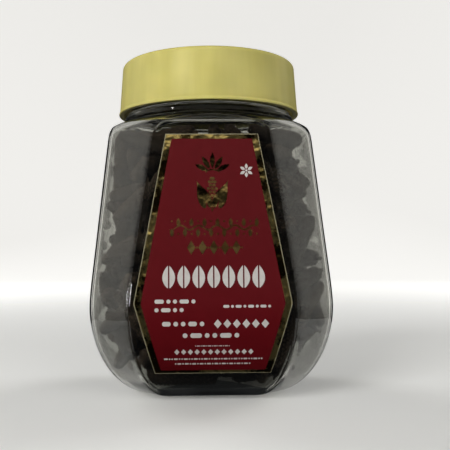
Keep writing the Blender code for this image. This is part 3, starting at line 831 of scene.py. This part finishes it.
def dried_pepper():
    """Dark dried fruit with paler crowns, painted shade near-black in the grooves between the fruits, and
    each spike a little different.
    """
    material, tree, shader, _ = new_material("dried_pepper_fine")
    shader.inputs["Roughness"].default_value = 0.75
    crown = node(tree, "ShaderNodeAttribute", attribute_name="crown")
    tint = node(tree, "ShaderNodeAttribute", attribute_name="tint")
    grain = noise(tree, scale=900.0, detail=4.0)
    share = node(tree, "ShaderNodeMath", {1: CROWN_SHARE}, operation="MULTIPLY")
    mix = node(tree, "ShaderNodeMix", data_type="RGBA")
    tree.links.new(crown.outputs["Fac"], share.inputs[0])
    tree.links.new(share.outputs[0], mix.inputs["Factor"])
    # Painted shade: the grooves between the fruits take the near-black colours, the crowns their own
    tree.links.new(ramp(tree, grain, GROOVE_SHADE_COLOURS), mix.inputs["A"])
    tree.links.new(ramp(tree, tint.outputs["Fac"], CROWN_COLOURS), mix.inputs["B"])
    tree.links.new(mix.outputs["Result"], shader.inputs["Base Color"])
    add_bump(tree, shader, grain, strength=0.6, distance=0.12 * MM)
    return material


def gold_foil(name, colours, patch_scale, crinkle, roughness):
    """Mirror-like gold film, crinkled, with painted reflections: bright and near-black patches blended into
    its colour by a noise.
    """
    material, tree, shader, _ = new_material(name)
    set_inputs(shader, {"Metallic": 1.0, "Roughness": roughness})
    # Painted reflections: a noise blends the gold's dark and bright ends in patches
    reflection_patches = noise(tree, scale=patch_scale, detail=5.0, roughness=0.65)
    tree.links.new(ramp(tree, reflection_patches, colours, FOIL_BLEND), shader.inputs["Base Color"])
    add_bump(tree, shader, noise(tree, scale=160.0, detail=3.0), strength=1.0, distance=crinkle)
    return material


def printed(name, colours, roughness, scale=350.0, gloss=0.5):
    """Printed ink or plain board, faintly mottled."""
    material, tree, shader, _ = new_material(name)
    set_inputs(shader, {"Roughness": roughness, "Specular IOR Level": gloss})
    mottle = noise(tree, scale=scale, detail=3.0)
    tree.links.new(ramp(tree, mottle, colours), shader.inputs["Base Color"])
    add_bump(tree, shader, mottle, strength=0.08, distance=0.1 * MM)
    return material


def area_light(name, place, aim_z, width, height, radiance, colour, mirrored, seen_through):
    """A soft rectangle of light, given by its radiance and aimed at the jar's axis."""
    data = bpy.data.lights.new(name, "AREA")
    data.shape = "RECTANGLE"
    data.size, data.size_y = width, height
    data.energy = radiance * math.pi * width * height
    data.color = colour
    lamp = bpy.data.objects.new(name, data)
    bpy.context.scene.collection.objects.link(lamp)
    lamp.location = place
    lamp.visible_glossy = mirrored
    lamp.visible_transmission = seen_through
    lamp.visible_camera = False
    lamp.rotation_euler = (Vector((0, 0, aim_z)) - Vector(place)).to_track_quat("-Z", "Y").to_euler()


def make_camera():
    """The camera, at the viewing angle and framing of the photo."""
    data = bpy.data.cameras.new("camera")
    data.sensor_width = SENSOR
    data.lens = FOCAL
    data.shift_x = SHIFT_X
    data.shift_y = SHIFT_Y
    camera = bpy.data.objects.new("camera", data)
    bpy.context.scene.collection.objects.link(camera)
    place = Vector((-math.sin(CAMERA_SIDE), -math.cos(CAMERA_SIDE), 0)) * CAMERA_DISTANCE
    camera.location = place + Vector((0, 0, CAMERA_HEIGHT))
    camera.rotation_euler = (math.pi / 2, CAMERA_ROLL, -CAMERA_SIDE)
    bpy.context.scene.camera = camera


def backdrop():
    """Pale matt paper that glows more the further it is from the jar."""
    material, tree, shader, _ = new_material("backdrop")
    set_inputs(shader, {"Base Color": BACKDROP_COLOUR, "Roughness": 0.9, "Emission Color": GLOW_COLOUR})
    coord = node(tree, "ShaderNodeTexCoord")
    away = node(tree, "ShaderNodeVectorMath", operation="LENGTH")
    glow = node(tree, "ShaderNodeMapRange", interpolation_type="SMOOTHSTEP")
    set_inputs(glow, {"From Min": GLOW_FROM_R, "From Max": GLOW_TO_R})
    set_inputs(glow, {"To Min": GLOW_LEAST, "To Max": GLOW_MOST})
    tree.links.new(coord.outputs["Object"], away.inputs[0])
    tree.links.new(away.outputs["Value"], glow.inputs["Value"])
    tree.links.new(glow.outputs["Result"], shader.inputs["Emission Strength"])
    return material


def make_studio():
    """A pale round sweep of floor and wall, lamps round the jar, and a dim surround."""
    bpy.context.scene.view_settings.view_transform = "Standard"
    world = bpy.data.worlds.new("surround")
    bpy.context.scene.world = world
    world.use_nodes = True
    set_inputs(world.node_tree.nodes["Background"], {"Color": SURROUND_COLOUR, "Strength": SURROUND_STRENGTH})
    material = backdrop()
    flat_r = SWEEP_WALL_R - SWEEP_CURVE
    profile = [(r, 0.0) for r in (*FLOOR_RADII, flat_r)]
    for step in range(1, SWEEP_CURVE_STEPS + 1):
        turn = step / SWEEP_CURVE_STEPS * math.pi / 2
        profile.append((flat_r + SWEEP_CURVE * math.sin(turn), SWEEP_CURVE * (1 - math.cos(turn))))
    profile += [(SWEEP_WALL_R, z) for z in SWEEP_WALL_HEIGHTS]
    for name, first, last, low, high, mirrored, seen_through in SWEEP_PARTS:
        turns = np.arange(first, last + 1) / SWEEP_SECTORS * TURN
        rows = profile[low:high + 1]
        points = [(r * math.cos(t), r * math.sin(t), z - SWEEP_SUNK) for r, z in rows for t in turns]
        count = len(turns)
        corner = np.arange(high - low)[:, None] * count + np.arange(count - 1)[None]
        faces = np.stack([corner, corner + count, corner + count + 1, corner + 1], -1).reshape(-1, 4)
        sweep = grid_mesh(name, points, faces, material)
        sweep.visible_glossy = mirrored
        sweep.visible_transmission = seen_through
        sweep.visible_diffuse = False
    for lamp in LAMPS:
        area_light(*lamp)


def placed(shape, x, z, angle=0.0):
    """An outline turned by an angle in degrees and moved to x and z, all in millimetres."""
    c, s = math.cos(math.radians(angle)), math.sin(math.radians(angle))
    return [(x + c * u - s * v, z + s * u + c * v) for u, v in shape]


def leaf(length, width, steps=9):
    """A pointed oval that stands on the origin."""
    rise = np.linspace(0, 1, steps)
    half = width / 2 * np.sin(math.pi * rise**0.9) ** 0.85
    right = [(h, length * t) for h, t in zip(half, rise)]
    return right + [(-h, length * t) for h, t in list(zip(half, rise))[-2:0:-1]]


def split_leaf(length, width, vein):
    """A leaf in two halves, with its midrib left bare."""
    rise = np.linspace(0.04, 0.97, 10)
    half = width / 2 * np.sin(math.pi * rise**0.9) ** 0.8
    right = [(vein / 2 + max(h - vein / 2, 0.02), length * t) for h, t in zip(half, rise)]
    right += [(vein / 2, length * rise[-1]), (vein / 2, length * rise[0])]
    return right, [(-u, v) for u, v in right]


def heart_leaf(length, width):
    """A heart-shaped leaf with its tip up and its notch on the origin."""
    outline = []
    for step in range(28):
        t = step / 28 * TURN
        u = math.sin(t) ** 3
        v = (13 * math.cos(t) - 5 * math.cos(2 * t) - 2 * math.cos(3 * t) - math.cos(4 * t)) / 17
        outline.append((width / 2 * u, length * (0.3 - v) / 1.3))
    return outline


def oval(rx, rz, steps=12):
    """An oval about the origin."""
    return [(rx * math.cos(i / steps * TURN), rz * math.sin(i / steps * TURN)) for i in range(steps)]


def lozenge(width, height):
    """A lozenge about the origin."""
    return [(width / 2, 0), (0, height / 2), (-width / 2, 0), (0, -height / 2)]


def stroke(points, width):
    """A ribbon along a line of points, drawn out to a point at both ends."""
    points = np.asarray(points, float)
    way = np.gradient(points, axis=0)
    way /= np.linalg.norm(way, axis=1)[:, None]
    side = np.stack([-way[:, 1], way[:, 0]], -1)
    share = np.linspace(0, 1, len(points))
    half = width / 2 * np.clip(np.minimum(share, 1 - share) * 8, 0.15, 1)[:, None]
    return np.concatenate([points + side * half, (points - side * half)[::-1]])


def dashes(left, right, z, height, pattern):
    """A line of round-ended dashes and dots between two ends, by a repeated pattern of lengths."""
    shapes = []
    x, step = left, 0
    while x + pattern[step % len(pattern)] <= right + 0.01:
        length = pattern[step % len(pattern)]
        half = height / 2
        run = max(length / 2 - half, 0.0)
        ends = [(math.copysign(run, c) + half * c, half * s) for c, s in oval(1, 1, 10)]
        shapes.append(placed(ends, x + length / 2, z))
        x += length + height * 0.55
        step += 1
    return shapes


def emblem_spike():
    """A spike of fruits between the emblem's leaves."""
    shapes = []
    for row in range(9):
        z = SPIKE_FOOT_Z + row * 0.95
        across = 3 if row % 2 else 2
        full = math.sin(math.pi * (0.12 + 0.8 * row / 8)) ** 0.6
        for k in range(across):
            shapes.append(placed(oval(0.48, 0.42, 8), (k - (across - 1) / 2) * 1.12 * full, z))
    return shapes


def emblem():
    """The rest of a sprig of the plant: its stalk, two heart-shaped leaves and a spray of leaves above."""
    shapes = [stroke([(0.0, 54.7), (0.05, 54.2), (-0.1, 53.5)], 0.55)]
    for side in (-1, 1):
        shapes.append(placed(heart_leaf(6.3, 3.7), side * 1.9, 56.6, side * -24))
        shapes.append(stroke([(0.1 * side, 54.3), (side * 0.9, 55.0), (side * 1.75, 56.4)], 0.4))
    for angle in (-64, -32, 0, 32, 64):
        foot = placed([(0, 1.3)], 0.1, SPRAY_Z, angle)[0]
        shapes.append(placed(leaf(4.1 if angle else 4.5, 1.35), *foot, angle))
    arc = [(0.1 - 1.9 * math.cos(t), SPRAY_Z + 0.9 * math.sin(t)) for t in np.linspace(0, math.pi, 9)]
    shapes.append(stroke(arc, 0.35))
    return shapes


def gold_rows():
    """A vine with leaves by turns above and below it, and a row of lozenges under it."""
    xs = np.linspace(-12, 13, 60)
    shapes = [stroke([(x, VINE_Z + 0.62 * math.sin(x * 1.25)) for x in xs], 0.42)]
    for k in range(14):
        x = -11.2 + k * 1.8
        up = 1 if k % 2 else -1
        shapes.append(placed(leaf(2.3, 1.15), x, VINE_Z + 0.3 * up, 0 if up > 0 else 180))
        shapes.append(placed(oval(0.26, 0.26, 8), x, VINE_Z - 1.75 * up))
    for k in range(5):
        x = -5.9 + k * 3.1
        shapes.append(placed(lozenge(2.3, 3.9), x, LOZENGES_Z))
        shapes.append(placed(oval(0.3, 0.3, 8), x + 1.55, LOZENGES_Z))
    return shapes


def white_rows():
    """A bold row of leaves, rules of dots and dashes, and a small flower at the upper right."""
    shapes = []
    for k in range(7):
        for half in split_leaf(6.5, 3.5, 0.4):
            shapes.append(placed(half, -12.1 + k * 4.1, LEAVES_Z))
    shapes += dashes(-16.0, -3.6, 29.0, 1.15, (2.6, 1.15, 1.15))
    shapes += dashes(-16.0, -8.0, 26.7, 1.15, (1.15, 2.6, 1.15))
    shapes += dashes(2.7, 17.2, 27.6, 0.8, (1.7, 0.8))
    shapes += dashes(-14.0, -1.2, 22.9, 1.3, (2.4, 1.3, 1.3))
    shapes += [placed(lozenge(2.1, 2.5), 1.2 + k * 2.6, 22.9) for k in range(6)]
    shapes += dashes(-8.4, 9.0, 19.7, 1.35, (1.35, 3.2, 1.35))
    shapes += dashes(-5.0, 5.0, 16.8, 0.3, (0.3, 0.9))
    shapes += [placed(lozenge(1.45, 1.6), -10.0 + k * 1.85, 15.1) for k in range(12)]
    shapes += dashes(-13.6, 13.6, 13.1, 0.45, (1.1, 0.45, 0.45))
    shapes += dashes(-10.6, 10.8, 11.7, 0.45, (0.45, 1.1))
    for k in range(6):
        foot = placed([(0, 0.45)], *FLOWER, k * 60)[0]
        shapes.append(placed(leaf(1.5, 0.85, 7), *foot, k * 60))
    shapes.append(placed(oval(0.32, 0.32, 8), *FLOWER))
    return shapes


def make_label():
    """Gold film with painted reflections, a cut edge coloured pale as a painted highlight, a red printed
    field, bare gold ornaments and white ink.
    """
    border_foil = gold_foil("gold_foil", BORDER_GOLD, patch_scale=110.0, crinkle=1.6 * MM, roughness=0.3)
    emblem_foil = gold_foil("gold_foil_dark", EMBLEM_GOLD, patch_scale=150.0, crinkle=1.6 * MM, roughness=0.3)
    row_foil = gold_foil("gold_foil_dull", ROW_GOLD, patch_scale=200.0, crinkle=0.8 * MM, roughness=0.42)
    red = printed("label_red", RED_INK, roughness=0.42, gloss=0.25)
    # The film shows only at the label's cut edge, coloured pale as a painted highlight
    edge = printed("label_edge_highlight", EDGE_HIGHLIGHT_COLOURS, roughness=0.35)
    ink = printed("label_white", WHITE_INK, roughness=0.5, scale=900.0)
    film = face_sheet("label_film", *FILM, edge)
    face_sheet("label_gold", *GOLD, border_foil, columns=40, rows=120)
    face_sheet("label_field", *FIELD, red)
    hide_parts("label")
    face_print("label_gold_emblem", emblem(), emblem_foil)
    face_print("label_gold_rows", gold_rows() + emblem_spike(), row_foil)
    face_print("label_white_rows", white_rows(), ink)


make_jar(clear_plastic())
make_cap(yellow_plastic())
make_peppers(dried_pepper())
liner_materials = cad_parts["liner"].data.materials
liner_materials.clear()
liner_materials.append(printed("liner_board_fine", LINER_COLOURS, roughness=0.6))
make_label()
make_camera()
make_studio()
